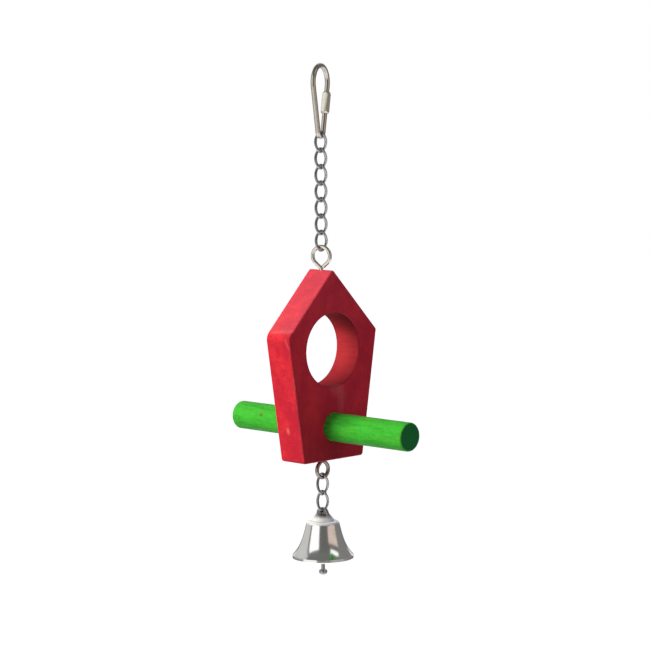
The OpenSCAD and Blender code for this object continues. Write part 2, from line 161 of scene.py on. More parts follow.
class WireSettings(PropertyGroup):
    """Sizes and metal of the pear link and the screw eyes."""

    bow_width: length("Bow width", "Outer width of the pear link's bow", 16.4)
    foot_width: length("Foot width", "Outer width of the pear link's foot", 7.4)
    pear_turn: angle("Pear turn", "Turn of the pear link away from the board's face", 20)
    gate: length("Gate", "Gap in the threaded leg", 3.0)
    nut_length: length("Nut length", "Length of the sleeve nut", 9.1)
    thread_pitch: length("Thread pitch", "Pitch of the pear link's thread", 0.45)
    eye_wire: length("Eye wire", "Wire of both screw eyes", 1.7)
    top_eye: length("Top eye", "Radius of the top eye to its wire's middle", 3.9)
    top_neck: length("Top neck", "From the top eye's round to its neck's point", 1.25)
    bottom_eye: length("Bottom eye", "Radius of the bottom eye to its wire's middle", 3.3)
    bottom_neck: length("Bottom neck", "From the bottom eye's round to its neck's point", 1.1)
    eye_bend: length("Eye bend", "Radius of the bend into a shank", 1.1)
    eye_thread: length("Eye thread", "Pitch of a screw eye's thread", 0.9)
    plate: colour("Plate", "Plated wire, a little tanned", 0.56, 0.53, 0.46)
    eye_plate: colour("Eye plate", "Paler plate of the top eye and the brad", 0.72, 0.68, 0.60)
    dull_plate: colour("Dull plate", "Browner plate of the bottom eye", 0.32, 0.285, 0.25)
    nut_plate: colour("Nut plate", "Brighter plate of the sleeve nut", 0.74, 0.70, 0.60)


class BellSettings(PropertyGroup):
    """Sizes and metal of the bell."""

    top_width: length("Top width", "Diameter of the flat top", 10.6)
    waist_width: length("Waist width", "Diameter where the shoulder meets the waist", 14.3)
    shoulder: length("Shoulder", "Height of the rounded shoulder", 1.7)
    lip: length("Lip", "Height of the straight lip", 1.5)
    slope: number("Slope", "Share of the flare that is a straight cone", 0.56)
    flare: number("Flare", "How late the rest of the flare turns out", 3.5)
    wall: length("Wall", "Wall of the bell", 0.8)
    stem: length("Stem hole", "Diameter of the hole for the stem", 1.3)
    flange: length("Flange", "Height of the crown's straight edge", 0.6)
    lug_width: length("Lug width", "Width of the crown's lug", 6.4)
    lug_thickness: length("Lug thickness", "Thickness of the crown's lug", 1.4)
    lug_strap: length("Lug strap", "Metal above the hole in the lug", 0.95)
    lug_hole: length("Lug hole", "Diameter of the hole in the lug", 1.8)
    neck_width: length("Neck width", "Diameter of the crown's cone at the hole", 5.5)
    nickel: colour("Nickel", "Polished nickel plate", 0.93, 0.92, 0.89)
    # Painted highlight: the pale, less metallic nickel of the crown's foot and the bell's shoulder
    bright: colour("Bright nickel", "Rubbed nickel of the crown's foot and the shoulder", 0.95, 0.95, 0.92)
    dull: colour("Dull lug", "Nickel gone dull on the crown's lug", 0.36, 0.37, 0.36)


class StudioSettings(PropertyGroup):
    """Camera and lights."""

    azimuth: angle("Azimuth", "Side that the camera looks from, 0 looking along +Y", -45.5)
    elevation: angle("Elevation", "Height of the camera above the horizon", 5.9)
    roll: angle("Roll", "Turn of the camera about its line of sight", -0.33)
    distance: length("Distance", "From the camera to the hanging line", 1000)
    aim_drop: length("Aim drop", "How far below the origin the camera looks", 106.9)
    side_shift: length("Side shift", "How far the camera stands to its right", 1.38)
    key_power: number("Key light", "Power of the large soft light on the left", 10.5, min=0.0, unit="POWER")
    front_power: number("Front light", "Power of the dim light along the perch", 1.05, min=0.0, unit="POWER")
    fill: colour("Fill", "Even light from all round", 0.2, 0.2, 0.285)


class PlayGymSettings(PropertyGroup):
    """All settings of the play gym."""

    board: PointerProperty(type=BoardSettings)
    perch: PointerProperty(type=PerchSettings)
    chain: PointerProperty(type=ChainSettings)
    wire: PointerProperty(type=WireSettings)
    bell: PointerProperty(type=BellSettings)
    studio: PointerProperty(type=StudioSettings)


# Shaders


class Value:
    """A node's output. Sums, products and powers of it become Math nodes of the same tree."""

    def __init__(self, tree, socket):
        self.tree = tree
        self.socket = socket

    def math(self, operation, *terms):
        return self.tree.node("ShaderNodeMath", {"operation": operation}, dict(enumerate(terms)))

    def __add__(self, other):
        return self.math("ADD", self, other)

    def __sub__(self, other):
        return self.math("SUBTRACT", self, other)

    def __rsub__(self, other):
        return self.math("SUBTRACT", other, self)

    def __mul__(self, other):
        return self.math("MULTIPLY", self, other)

    def __pow__(self, other):
        return self.math("POWER", self, other)

    def __abs__(self):
        return self.math("ABSOLUTE", self)

    __radd__ = __add__
    __rmul__ = __mul__


class Tree:
    """A node tree as it is written."""

    def __init__(self, owner):
        owner.use_nodes = True
        self.nodes = owner.node_tree.nodes
        self.links = owner.node_tree.links

    def feed(self, node, inputs):
        """Sets or links sockets of a node."""
        for name, value in inputs.items():
            if isinstance(value, Value):
                self.links.new(value.socket, node.inputs[name])
            else:
                node.inputs[name].default_value = value

    def node(self, kind, settings=None, inputs=None, out=0):
        """Adds a node: its settings first, then the values and links of its sockets."""
        made = self.nodes.new(kind)
        for name, value in (settings or {}).items():
            setattr(made, name, value)
        self.feed(made, inputs or {})
        return Value(self, made.outputs[out])

    def vector(self, operation, first, second=(0, 0, 0), out="Vector"):
        """Vector Math on a vector and another, or on one alone."""
        return self.node("ShaderNodeVectorMath", {"operation": operation}, {0: first, 1: second}, out)

    def mix(self, mask, base, over):
        """One colour laid over another where the mask is 1."""
        base, over = (tone if isinstance(tone, Value) else (*tone, 1.0) for tone in (base, over))
        return self.node("ShaderNodeMix", {"data_type": "RGBA"}, {0: mask, 6: base, 7: over}, out=2)

    def background_rays(self):
        """1 for the camera's rays and for rays that metal or glass send on."""
        kinds = ("Camera", "Glossy", "Transmission")
        seen, *others = (self.node("ShaderNodeLightPath", out=f"Is {kind} Ray") for kind in kinds)
        for other in others:
            seen = seen.math("MAXIMUM", seen, other)
        return seen


class Finish(Tree):
    """A material as it is written, with the piece's own coordinates in millimetres at hand."""

    def __init__(self, name, **constants):
        self.material = bpy.data.materials.new(name)
        super().__init__(self.material)
        self.surface = self.nodes["Principled BSDF"]
        self.coat(**constants)

    def coat(self, **sockets):
        """Sets or links the surface's sockets, such as Base_Color or Roughness."""
        self.feed(self.surface, {name.replace("_", " "): value for name, value in sockets.items()})

    @cached_property
    def place(self):
        """The piece's own coordinates."""
        return self.vector("MULTIPLY", self.node("ShaderNodeTexCoord", out="Object"), (1 / MM,) * 3)

    def along(self, axis):
        """The coordinate along one axis."""
        return self.node("ShaderNodeSeparateXYZ", None, {0: self.place}, axis)

    def noise(self, scale, stretch=(1, 1, 1), detail=4.0, rough=0.6, seed=0):
        """Noise from 0 to 1, with scale as cycles in a millimetre and each axis stretched."""
        place = self.vector("MULTIPLY", self.place, tuple(scale * share for share in stretch))
        sockets = {"Vector": place, "W": seed, "Scale": 1.0, "Detail": detail, "Roughness": rough}
        return self.node("ShaderNodeTexNoise", {"noise_dimensions": "4D"}, sockets)

    def step(self, value, low, high):
        """0 up to low, 1 past high and smooth between. With low over high it falls instead."""
        sockets = {"Value": value, "From Min": low, "From Max": high}
        return self.node("ShaderNodeMapRange", {"interpolation_type": "SMOOTHSTEP"}, sockets)

    def spot(self, centre, halves, core=0.35):
        """1 in the middle of a soft spot, 0 outside its half sizes in millimetres."""
        share = self.vector("DIVIDE", self.vector("SUBTRACT", self.place, centre), halves)
        return self.step(self.vector("LENGTH", share, out="Value"), 1.0, core)

    def relief(self, height):
        """Raises the surface by a height in millimetres."""
        bump = {"Strength": 1.0, "Distance": MM, "Height": height}
        self.coat(Normal=self.node("ShaderNodeBump", None, bump, "Normal"))


def red_stain(board):
    """Water stain on a sawn and sanded board: blotches, grain along Z, saw and drill marks."""
    low, high = (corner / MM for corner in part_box("house_board"))
    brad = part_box("perch_brad")[0] / MM
    hole_z, hole_r = HOLE_Z / MM, HOLE_R / MM
    sill_z = hole_z - hole_r
    eaves_z = high.z - board.eaves_drop / MM
    half = (high.y - low.y) / 2
    finish = Finish("red_stain", Specular_IOR_Level=0.15)
    step, spot, mix = finish.step, finish.spot, finish.mix
    x, y, z = (finish.along(axis) for axis in "XYZ")

    # Zones, and the widths in millimetres over which one gives way to the next
    hair, sharp, soft, wide = 0.02, 0.1, 0.5, 3.0
    arris_from, arris_full, arris_ends = 0.85, 0.3, 0.2
    mouth_from, mouth_full = 1.2, 2.0
    low_shade_from, gable_drop = -2.0, 8.0
    depth = abs(y)
    rise = z - hole_z
    radius = (x * x + rise * rise) ** 0.5
    face = step(depth, half - hair - sharp, half - hair)
    bore = step(radius, hole_r + soft, hole_r + sharp) * (1 - face)
    sawn = (1 - face) * (1 - bore)
    left = step(x, 0.0, -2 * soft) * sawn
    roof = step(z, eaves_z, eaves_z + wide) * sawn
    # Painted light on the upper part of both faces
    upper_face_light = step(z, hole_z, high.z - gable_drop) * face
    # Painted shade, darker towards the foot of both faces
    foot = step(z, sill_z, low.z) * face
    arris = step(depth, half - arris_from, half - arris_full) * (1 - step(depth, half - arris_ends, half))
    arris = arris * step(radius, hole_r + mouth_from, hole_r + mouth_full) * step(z, eaves_z, eaves_z - wide)

    blotch = finish.noise(0.13, (1, 1, 0.8), detail=5.0, rough=0.65, seed=3)
    speckle = finish.noise(1.0, (1, 1, 1.3), rough=0.7, seed=8)
    fibre = finish.noise(0.9, (1, 1, 0.08), rough=0.65, seed=1)
    saw = finish.noise(1.1, (0.12, 0.14, 1), rough=0.65, seed=5)
    drill = finish.noise(1.6, (1, 0.1, 1), detail=3.0, seed=6)

    # Stain that soaked in and ran along the grain, drill streaks in the hole and its wall darker towards the front
    # mouth, and painted shade at the top and bottom of the hole and towards the foot of both faces
    soaked = step(blotch * 0.6 + speckle * 0.4, 0.4, 0.6)
    lines = face * step(fibre, 0.48, 0.66) + sawn * step(saw, 0.46, 0.66)
    # Painted shade at the bottom and the top of the climbing hole
    ends = step(rise, low_shade_from, -hole_r) * 0.42 + step(rise, 0.2 * hole_r, 0.65 * hole_r) * 0.4
    streaks = step(drill, 0.34, 0.7) * 0.18 + step(y, 0.0, low.y) * 0.05
    tone = mix(soaked * (1 - 0.2 * face), board.stain, board.deep)
    # The climbing hole's wall, darkened in part as painted shade
    tone = mix(bore, tone, board.drilled_and_shaded)
    tone = mix(lines * 0.42, tone, board.deep)
    # Painted shade in the hole and at the foot, with the drill streaks
    tone = mix(bore * (ends + streaks) + foot * 0.32, tone, board.shade_and_streak)
    # Painted sheen on the roof and painted light on the upper faces
    tone = mix(roof * 0.14 + upper_face_light * 0.03, tone, board.painted_sheen)

    # Wear: a crease and a scuff at the left eaves and a fleck at the brad; a painted light patch under the hole
    crease_z, crease_width, crease_fade = eaves_z + 2.0, 1.1, 4.0
    scuff_y, scuff_width = low.y + 3.0, 1.3
    crease = step(abs(z - crease_z + y * 0.12 + (blotch - 0.5) * 1.5), crease_width, 0.0)
    crease = crease * step(y, half - soft, half - crease_fade)
    scuff = step(abs(y - scuff_y - (z - eaves_z) * 0.45), scuff_width, 0.0)
    scuff = scuff * spot((low.x + 1.0, low.y, eaves_z - 2.6), (4.0, 6.0, 3.6))
    # Painted light: a pale patch under the climbing hole
    light_patch = spot((4.3, low.y, sill_z - 4.5), (3.6, 2.0, 9.0), core=0.1)
    light_patch = light_patch + spot((1.2, low.y, sill_z), (5.5, 3.5, 5.0), core=0.1)
    fleck = spot((brad.x, 0.4, brad.z + 0.6), (4.0, 1.4, 2.4), core=0.1)
    bare = step(speckle * 0.6 + fibre * 0.4, 0.46, 0.64) * 0.3
    wear_and_sheen = arris * (bare + 0.06) + (crease + scuff) * left * (bare + 0.14) + light_patch * 0.16 + fleck * 0.5
    finish.coat(
        Base_Color=mix(wear_and_sheen, tone, board.wear_and_sheen),
        Roughness=0.62 - 0.12 * soaked + 0.1 * speckle + 0.25 * bore,
    )
    finish.relief(fibre * (0.03 * face) + saw * (0.045 * sawn) + drill * (0.08 * bore) + speckle * 0.03)
    return finish.material


def green_stain(perch):
    """Water stain on a dowel: grain along Y, yellow patches, knots and dark end grain."""
    low, high = (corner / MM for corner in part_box("perch_dowel"))
    middle = (low + high) / 2
    radius, half = (high.z - low.z) / 2, (high.y - low.y) / 2
    finish = Finish("green_stain", Specular_IOR_Level=0.1)
    step, mix = finish.step, finish.mix
    x, y, z = (finish.along(axis) for axis in "XYZ")

    reach = abs(y - middle.y)
    sawn = step(reach, half - 0.25, half - 0.02)
    rim = step(reach, half - 1.0, half - 0.5) * (1 - sawn)
    # Painted light on the top: the upper side, where the pale patches lie
    upper = step(z, low.z + 0.25 * radius, middle.z + 0.25 * radius)

    patch = finish.noise(0.11, (1, 0.35, 1), seed=2)
    streak = finish.noise(0.6, (1, 0.12, 1), rough=0.65, seed=4)
    fibre = finish.noise(3.0, (1, 0.04, 1), detail=3.0, seed=9)
    speckle = finish.noise(0.8, (1, 0.6, 1), rough=0.7, seed=7)

    # Pale yellow patches, kept to the upper side as painted light on the top
    tone = mix(step(patch, 0.47, 0.68) * upper, perch.stain, perch.pale)
    tone = mix(step(streak, 0.44, 0.74) * 0.7, tone, perch.deep)
    tone = mix(step(speckle, 0.42, 0.74) * 0.42, tone, perch.deep)
    # Pale rims at both ends: worn wood and a painted highlight
    tone = mix(rim * step(speckle, 0.35, 0.6) * 0.5, tone, perch.pale)

    # Year rings of the sawn ends, about a heart off the middle
    rings_per_mm = 1.1
    across = x - (middle.x + 0.25 * radius)
    rise = z - (middle.z - 0.4 * radius)
    rings = (across * across + rise * rise) ** 0.5 * rings_per_mm + speckle * 0.5
    ring = rings.math("PINGPONG", rings, 0.5) * 2
    tone = mix(sawn, tone, mix(ring * 0.4 + speckle * 0.3, perch.end_grain, perch.deep))

    # Place of each knot from the dowel's middle, and its half sizes
    knots = (((-5.7, 31.7, 2.024), (2.0, 1.5, 1.1)), ((-6.0, 45.1, -0.576), (1.4, 0.8, 0.7)))
    for place, halves in knots:
        tone = mix(finish.spot(middle + Vector(place), halves) * 0.75, tone, perch.knot)
    finish.coat(Base_Color=tone, Roughness=0.5 + 0.15 * speckle + 0.1 * sawn)
    finish.relief(fibre * (0.03 * (1 - sawn)) + streak * 0.03 + (ring * 0.05 + speckle * 0.05) * sawn)
    return finish.material


def metal(name, tone, rough=0.16, spread=0.14, dent=0.004):
    """Plated metal: cloudy polish, darker tarnish in patches and fine dents in millimetres."""
    finish = Finish(name, Metallic=1.0)
    cloud = finish.noise(0.35, seed=2)
    fine = finish.noise(3.5, detail=3.0, seed=5)
    tarnish = finish.step(cloud * 0.6 + fine * 0.4, 0.5, 0.75)
    dull = [channel * 0.62 for channel in tone]
    finish.coat(
        Base_Color=finish.mix(tarnish * 0.6, tone, dull), Roughness=rough + spread / 2 * (cloud + fine)
    )
    finish.relief((fine + cloud) * dent)
    return finish.material


def spun_nickel(bell):
    """Polished nickel with faint turning lines, a few smudges and a painted highlight on the shoulder, paler and
    less metallic.
    """
    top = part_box("bell_shell")[1].z / MM
    finish = Finish("spun_nickel")
    lines = finish.noise(5.0, (0.01, 0.01, 1), detail=3.0, seed=1)
    haze = finish.step(finish.noise(0.16, detail=5.0, seed=4), 0.5, 0.72)
    shoulder = finish.step(finish.along("Z"), top - bell.shoulder / MM, top)
    # Painted highlight on the top of the shoulder, paler and less metallic
    crest = finish.step(shoulder, 0.2, 0.6)
    tone = finish.mix(haze * 0.5, bell.nickel, [channel * 0.8 for channel in bell.nickel])
    finish.coat(
        Base_Color=finish.mix(crest, tone, bell.bright),
        Metallic=1 - 0.75 * crest,
        Roughness=0.15 + 0.08 * haze + 0.03 * lines + 0.16 * shoulder,
    )
    finish.relief(lines * 0.0012)
    return finish.material


def satin_nickel(bell):
    """Cast nickel of the crown: darker and duller on the lug, with a painted highlight on the foot."""
    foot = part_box("bell_crown")[0].z / MM
    highlight_fades_from, highlight_gone_at = foot + 0.9, foot + 2.9
    finish = Finish("satin_nickel")
    cloud = finish.noise(0.6, seed=3)
    # Painted highlight on the foot, giving way to the lug's darker nickel
    lug = finish.step(finish.along("Z") + (cloud - 0.5) * 0.8, highlight_fades_from, highlight_gone_at)
    finish.coat(
        Base_Color=finish.mix(lug, bell.bright, bell.dull),
        Metallic=0.25 + 0.75 * lug,
        Roughness=0.32 - 0.04 * lug,
    )
    return finish.material


# Modelling


def deselect_all():
    """Leaves edit mode with nothing selected."""
    if bpy.context.mode != "OBJECT":
        bpy.ops.object.mode_set(mode="OBJECT")
    bpy.ops.object.select_all(action="DESELECT")


def take_up(piece):
    """Selects one piece and makes it active."""
    deselect_all()
    piece.select_set(True)
    bpy.context.view_layer.objects.active = piece


def settle(piece):
    """Puts a piece's place, turn and scale into its mesh."""
    take_up(piece)
    bpy.ops.object.transform_apply(location=True, rotation=True, scale=True)
    return piece


def set_down(piece, spot=(0, 0, 0), turn=Quaternion()):
    """Turns a piece about the origin, moves it to a spot and settles it there."""
    piece.matrix_world = Matrix.Translation(spot) @ turn.to_matrix().to_4x4()
    return settle(piece)


def named(name):
    """Names what was just added and settles it."""
    piece = bpy.context.object
    piece.name = piece.data.name = name
    return settle(piece)


def choose(piece, wanted=lambda co: True):
    """Enters edit mode and selects the points that a test wants, with the edges between them."""
    bpy.context.view_layer.objects.active = piece
    bpy.ops.object.mode_set(mode="EDIT")
    bpy.ops.mesh.select_mode(type="VERT")
    bpy.ops.mesh.select_all(action="DESELECT")
    mesh = bmesh.from_edit_mesh(piece.data)
    for vert in mesh.verts:
        if wanted(vert.co):
            vert.select_set(True)
    mesh.select_flush_mode()
    bmesh.update_edit_mesh(piece.data)


def near(value, target, reach=0.02 * MM):
    return abs(value - target) < reach


def round_over(piece, wanted, radius, segments):
    """Bevels the edges that have both ends where a test wants them."""
    choose(piece, wanted)
    bpy.ops.mesh.bevel(offset=radius, segments=segments, affect="EDGES")


def apply_modifier(piece, kind, **settings):
    """Adds one modifier and applies it."""
    take_up(piece)
    modifier = piece.modifiers.new(kind.lower(), kind)
    for name, value in settings.items():
        setattr(modifier, name, value)
    bpy.ops.object.modifier_apply(modifier=modifier.name)


def cut_with(piece, tool, operation="DIFFERENCE"):
    """Joins a tool to a piece, or cuts it out, and throws the tool away."""
    apply_modifier(piece, "BOOLEAN", object=tool, operation=operation, solver="EXACT")
    bpy.data.objects.remove(tool)


def smooth(piece, degrees=40.0):
    """Shades a piece smooth, with flat faces kept flat beside their rounded edges."""
    take_up(piece)
    bpy.ops.object.shade_smooth_by_angle(angle=radians(degrees))
    apply_modifier(piece, "WEIGHTED_NORMAL", keep_sharp=True)
    return piece


def tidy_mesh(piece):
    """Merges doubled points and points the faces outwards."""
    take_up(piece)
    choose(piece)
    bpy.ops.mesh.remove_doubles(threshold=1e-7)
    bpy.ops.mesh.normals_make_consistent(inside=False)
    take_up(piece)
    return piece


def paint(piece, material):
    """Gives a piece its one material."""
    piece.data.materials.clear()
    piece.data.materials.append(material)


def stand_for(piece, body, material, node):
    """Hands a finished piece to its body, in place of the node that it stands for."""
    paint(piece, material)
    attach(piece, body)
    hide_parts(node)


def repaint(material, *nodes):
    """Gives nodes that keep their own shape a better material."""
    for node in nodes:
        paint(frame["nodes"][node], material)


def bend_wire(name, radius, start, heading, moves, sides):
    """Draws a round wire as it is bent: ("run", length), ("turn", angle, bend radius), ("draw", share).

    A turn goes about Y, to the left of the heading, and draw narrows the wire's end.
    """
    arc_step = radians(5)
    deselect_all()
    place = start
    bpy.ops.mesh.primitive_circle_add(
        vertices=sides, radius=radius, location=place, rotation=heading.to_track_quat("Z", "Y").to_euler()
    )
    wire = named(name)
    choose(wire)
    for move, *sizes in moves:
        if move == "run":
            run = heading * sizes[0]
            bpy.ops.mesh.extrude_region_move(TRANSFORM_OT_translate={"value": run})
            place = place + run
        elif move == "draw":
            bpy.ops.transform.resize(value=sizes * 3, center_override=place)
        else:
            turn, bend = sizes
            centre = place + copysign(bend, turn) * Y_AXIS.cross(heading)
            steps = max(2, round(abs(turn) / arc_step))
            bpy.ops.mesh.spin(steps=steps, angle=-turn, center=centre, axis=Y_AXIS)
            swing = Quaternion(Y_AXIS, turn)
            place = centre + swing @ (place - centre)
            heading = swing @ heading
    bpy.ops.mesh.select_all(action="SELECT")
    bpy.ops.mesh.fill_holes(sides=sides)
    return tidy_mesh(wire)


def thread(start, heading, core, crest, pitch, run):
    """A helical ridge round a wire, from a start point along a heading."""
    deselect_all()
    bpy.ops.mesh.primitive_circle_add(
        vertices=3, radius=crest - core, location=(core, 0, 0), rotation=(pi / 2, 0, 0)
    )
    ridge = named("thread")
    turns = max(1, round(run / pitch))
    apply_modifier(
        ridge, "SCREW", axis="Z", angle=2 * pi, screw_offset=pitch, iterations=turns, steps=20,
        render_steps=20, use_merge_vertices=False,
    )
    choose(ridge)
    bpy.ops.mesh.fill_holes(sides=3)
    return tidy_mesh(set_down(ridge, start, heading.to_track_quat("Z", "Y")))


def joined(piece, *others):
    """Makes several meshes one piece."""
    take_up(piece)
    for other in others:
        other.select_set(True)
    bpy.ops.object.join()
    return piece


def turned(name, profile, steps, sweep=2 * pi):
    """Spins a profile of (radius, height) points round the Z axis, from +X towards +Y."""
    deselect_all()
    bpy.ops.mesh.primitive_plane_add(size=MM, location=(0, 0, 0))
    piece = named(name)
    choose(piece)
    bpy.ops.mesh.merge(type="CENTER")
    here, *others = (Vector((radius, 0, height)) for radius, height in profile)
    bpy.ops.transform.translate(value=here)
    for there in others:
        bpy.ops.mesh.extrude_vertices_move(TRANSFORM_OT_translate={"value": there - here})
        here = there
    bpy.ops.mesh.select_all(action="SELECT")
    bpy.ops.mesh.spin(steps=steps, angle=-sweep, center=(0, 0, 0), axis=Z_AXIS)
    return tidy_mesh(piece)


def quarter_round(start, end, steps, upright=False):
    """Points of a quarter ellipse after start and up to end. It leaves start sideways, or upright."""
    points = []
    for step in range(1, steps + 1):
        turn = pi / 2 * step / steps
        shares = [sin(turn), 1 - cos(turn)]
        if upright:
            shares.reverse()
        points.append(tuple(a + (b - a) * share for a, b, share in zip(start, end, shares)))
    return points


class PLAYGYM_OT_pear_link(Operator):
    """Bends the pear link and paints it and its sleeve nut"""

    bl_idname = "playgym.pear_link"
    bl_label = "Pear link"

    def execute(self, context):
        wires = context.scene.play_gym.wire
        low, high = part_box("pear_link")
        nut_low, nut_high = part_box("pear_nut")
        wire = high.z
        bow_r = (wires.bow_width - wire) / 2
        foot_r = (wires.foot_width - wire) / 2
        bow_z = wire / 2 - bow_r
        foot_z = low.z + wire / 2 + foot_r
        lean = asin((bow_r - foot_r) / (bow_z - foot_z))
        leg = (bow_z - foot_z) * cos(lean)
        down = Vector((-sin(lean), 0, -cos(lean)))
        leg_top = Vector((bow_r * cos(lean), 0, bow_z - bow_r * sin(lean)))
        gate = (leg_top.z - (nut_low.z + nut_high.z) / 2) / cos(lean)
        lower, upper = gate + wires.gate / 2, gate - wires.gate / 2

        # The wire starts in the gate, as a stub with a threaded core and a chamfered tip, and ends so
        core, tip, step, sink = 0.88, 0.2 * MM, 0.15 * MM, 0.03 * MM
        stub = (wires.nut_length - wires.gate) / 2 - 2 * tip
        moves = [
            ("run", tip), ("draw", 1 / core), ("run", stub), ("run", step), ("draw", 1 / core),
            ("run", leg - lower - stub - tip - step),
            ("turn", pi - 2 * lean, foot_r), ("run", leg), ("turn", pi + 2 * lean, bow_r),
            ("run", upper - stub - tip - step),
            ("run", step), ("draw", core), ("run", stub), ("run", tip), ("draw", core),
        ]
        pear = bend_wire("pear_wire", wire / 2 * core * core, leg_top + down * lower, down, moves, sides=28)
        pitch = wires.thread_pitch
        ridges = [
            thread(leg_top + down * start, down, wire / 2 * core - sink, wire / 2, pitch, stub - pitch)
            for start in (lower + tip, upper - stub - tip + pitch / 2)
        ]
        set_down(joined(pear, *ridges), turn=Quaternion(Z_AXIS, wires.pear_turn))
        plate = metal("pear_plate", wires.plate, rough=0.18, spread=0.12)
        stand_for(smooth(pear, 35), "pear", plate, "pear_link")
        repaint(metal("nut_plate", wires.nut_plate, rough=0.14, spread=0.1, dent=0.003), "pear_nut")
        return {"FINISHED"}


def curb_link(chain, half_height):
    """One link standing on end about the origin: a squared oval of wire, twisted between its ends."""
    deselect_all()
    bpy.ops.curve.primitive_bezier_circle_add(radius=1.0, rotation=(pi / 2, 0, 0))
    ring = bpy.context.object
    ring.scale = (chain.half_width, half_height, 1.0)
    circle_handle, oval_handle = 0.5523, 0.688
    points = ring.data.splines[0].bezier_points
    for point in points:
        for side in ("handle_left", "handle_right"):
            setattr(point, side + "_type", "FREE")
            handle = getattr(point, side)
            setattr(point, side, point.co + (handle - point.co) * oval_handle / circle_handle)
    settle(ring)
    for point in points:
        point.radius = 1.0
    ring.data.resolution_u = 24
    ring.data.bevel_depth = chain.wire / 2
    ring.data.bevel_resolution = 7
    bpy.ops.object.convert(target="MESH")
    link = tidy_mesh(named("link_model"))

    def at_seam(co):
        return co.x > 0 and near(co.z, 0, 0.001 * MM)

    round_over(link, at_seam, chain.seam, segments=2)
    choose(link, at_seam)
    bpy.ops.transform.shrink_fatten(value=-chain.seam)

    straight_ends = 0.15
    apply_modifier(
        link, "SIMPLE_DEFORM", deform_method="TWIST", deform_axis="Z", angle=-chain.twist,
        limits=(straight_ends, 1 - straight_ends),
    )
    return smooth(set_down(link, turn=Quaternion(Z_AXIS, -chain.twist / 2)), 50)


class PLAYGYM_OT_chain(Operator):
    """Models a twisted curb link once for each length and copies it down the chain"""

    bl_idname = "playgym.chain"
    bl_label = "Curb chain"

    def execute(self, context):
        chain = context.scene.play_gym.chain
        steels = (
            ("upper_link_", metal("dull_steel", chain.steel, rough=0.18, spread=0.18, dent=0.01)),
            # A lighter steel copy for the lower links, a painted highlight
            ("lower_link_", metal("lit_lower_steel", chain.lit_steel, dent=0.008)),
        )
        for stem, steel in steels:
            nodes = sorted(name for name in frame["nodes"] if name.startswith(stem))
            low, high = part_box(nodes[0])
            model = curb_link(chain, (high.z - low.z - chain.wire) / 2)
            for node in nodes:
                low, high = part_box(node)
                body = next(name for name, members in BODIES.items() if node in members)
                link = model.copy()
                link.data = model.data.copy()
                link.name = link.data.name = "curb_" + node
                context.collection.objects.link(link)
                set_down(link, (0, 0, (low.z + high.z) / 2))
                stand_for(link, body, steel, node)
            bpy.data.objects.remove(model)
        return {"FINISHED"}


def screw_eye(wires, name, radius, neck, shank):
    """A screw eye about its ring's centre, with its threaded shank pointing down."""
    wire = wires.eye_wire
    lean = asin(radius / (radius + neck))
    neck_len = radius / tan(lean)
    tangent = wires.eye_bend * tan(lean / 2)
    gap, plain, step, point, sink = (size * MM for size in (0.25, 1.2, 0.3, 2.0, 0.05))
    core, tip = 0.74, 0.2
    cut_end = neck_len - wire / 2 - gap
    threaded = shank - plain - point
    up = Vector((sin(lean), 0, cos(lean)))
    start = Vector((radius * cos(lean), 0, -radius * sin(lean))) - up * cut_end
    moves = [
        ("run", cut_end), ("turn", -pi - 2 * lean, radius), ("run", neck_len - tangent),
        ("turn", lean, wires.eye_bend), ("run", plain), ("run", step), ("draw", core),
        ("run", threaded - step), ("run", point), ("draw", tip),
    ]
    eye = bend_wire(name, wire / 2, start, up, moves, sides=24)
    top = Vector((0, 0, -radius - neck - tangent - plain))
    pitch = wires.eye_thread
    return joined(eye, thread(top, -Z_AXIS, wire / 2 * core - sink, wire / 2, pitch, threaded - pitch))


class PLAYGYM_OT_screw_eyes(Operator):
    """Bends the two screw eyes of the board and paints the brad"""

    bl_idname = "playgym.screw_eyes"
    bl_label = "Screw eyes"

    def execute(self, context):
        wires = context.scene.play_gym.wire
        base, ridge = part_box("house_board")
        pale = metal("eye_plate", wires.eye_plate, dent=0.006)
        dull = metal("dull_plate", wires.dull_plate, dent=0.006)
        repaint(pale, "perch_brad")
        top, bottom = JOINTS["house_swing"], JOINTS["low_link_1_swing"]
        top_turn = Quaternion(Z_AXIS, atan2(-top["axis"][1], -top["axis"][0]))
        top_z, bottom_z = top["pos_m"][2] - wires.top_eye, bottom["pos_m"][2] + wires.bottom_eye
        top_shank = ridge.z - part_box("top_screw_eye")[0].z
        bottom_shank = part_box("bottom_screw_eye")[1].z - base.z
        flipped = Quaternion(X_AXIS, pi)
        eyes = (
            ("top_screw_eye", pale, wires.top_eye, wires.top_neck, top_shank, top_z, top_turn),
            ("bottom_screw_eye", dull, wires.bottom_eye, wires.bottom_neck, bottom_shank, bottom_z, flipped),
        )
        for node, plate, radius, neck, shank, ring_z, turn in eyes:
            eye = screw_eye(wires, "wire_" + node, radius, neck, shank)
            set_down(eye, (0, 0, ring_z), turn)
            stand_for(smooth(eye, 50), "house", plate, node)
        return {"FINISHED"}


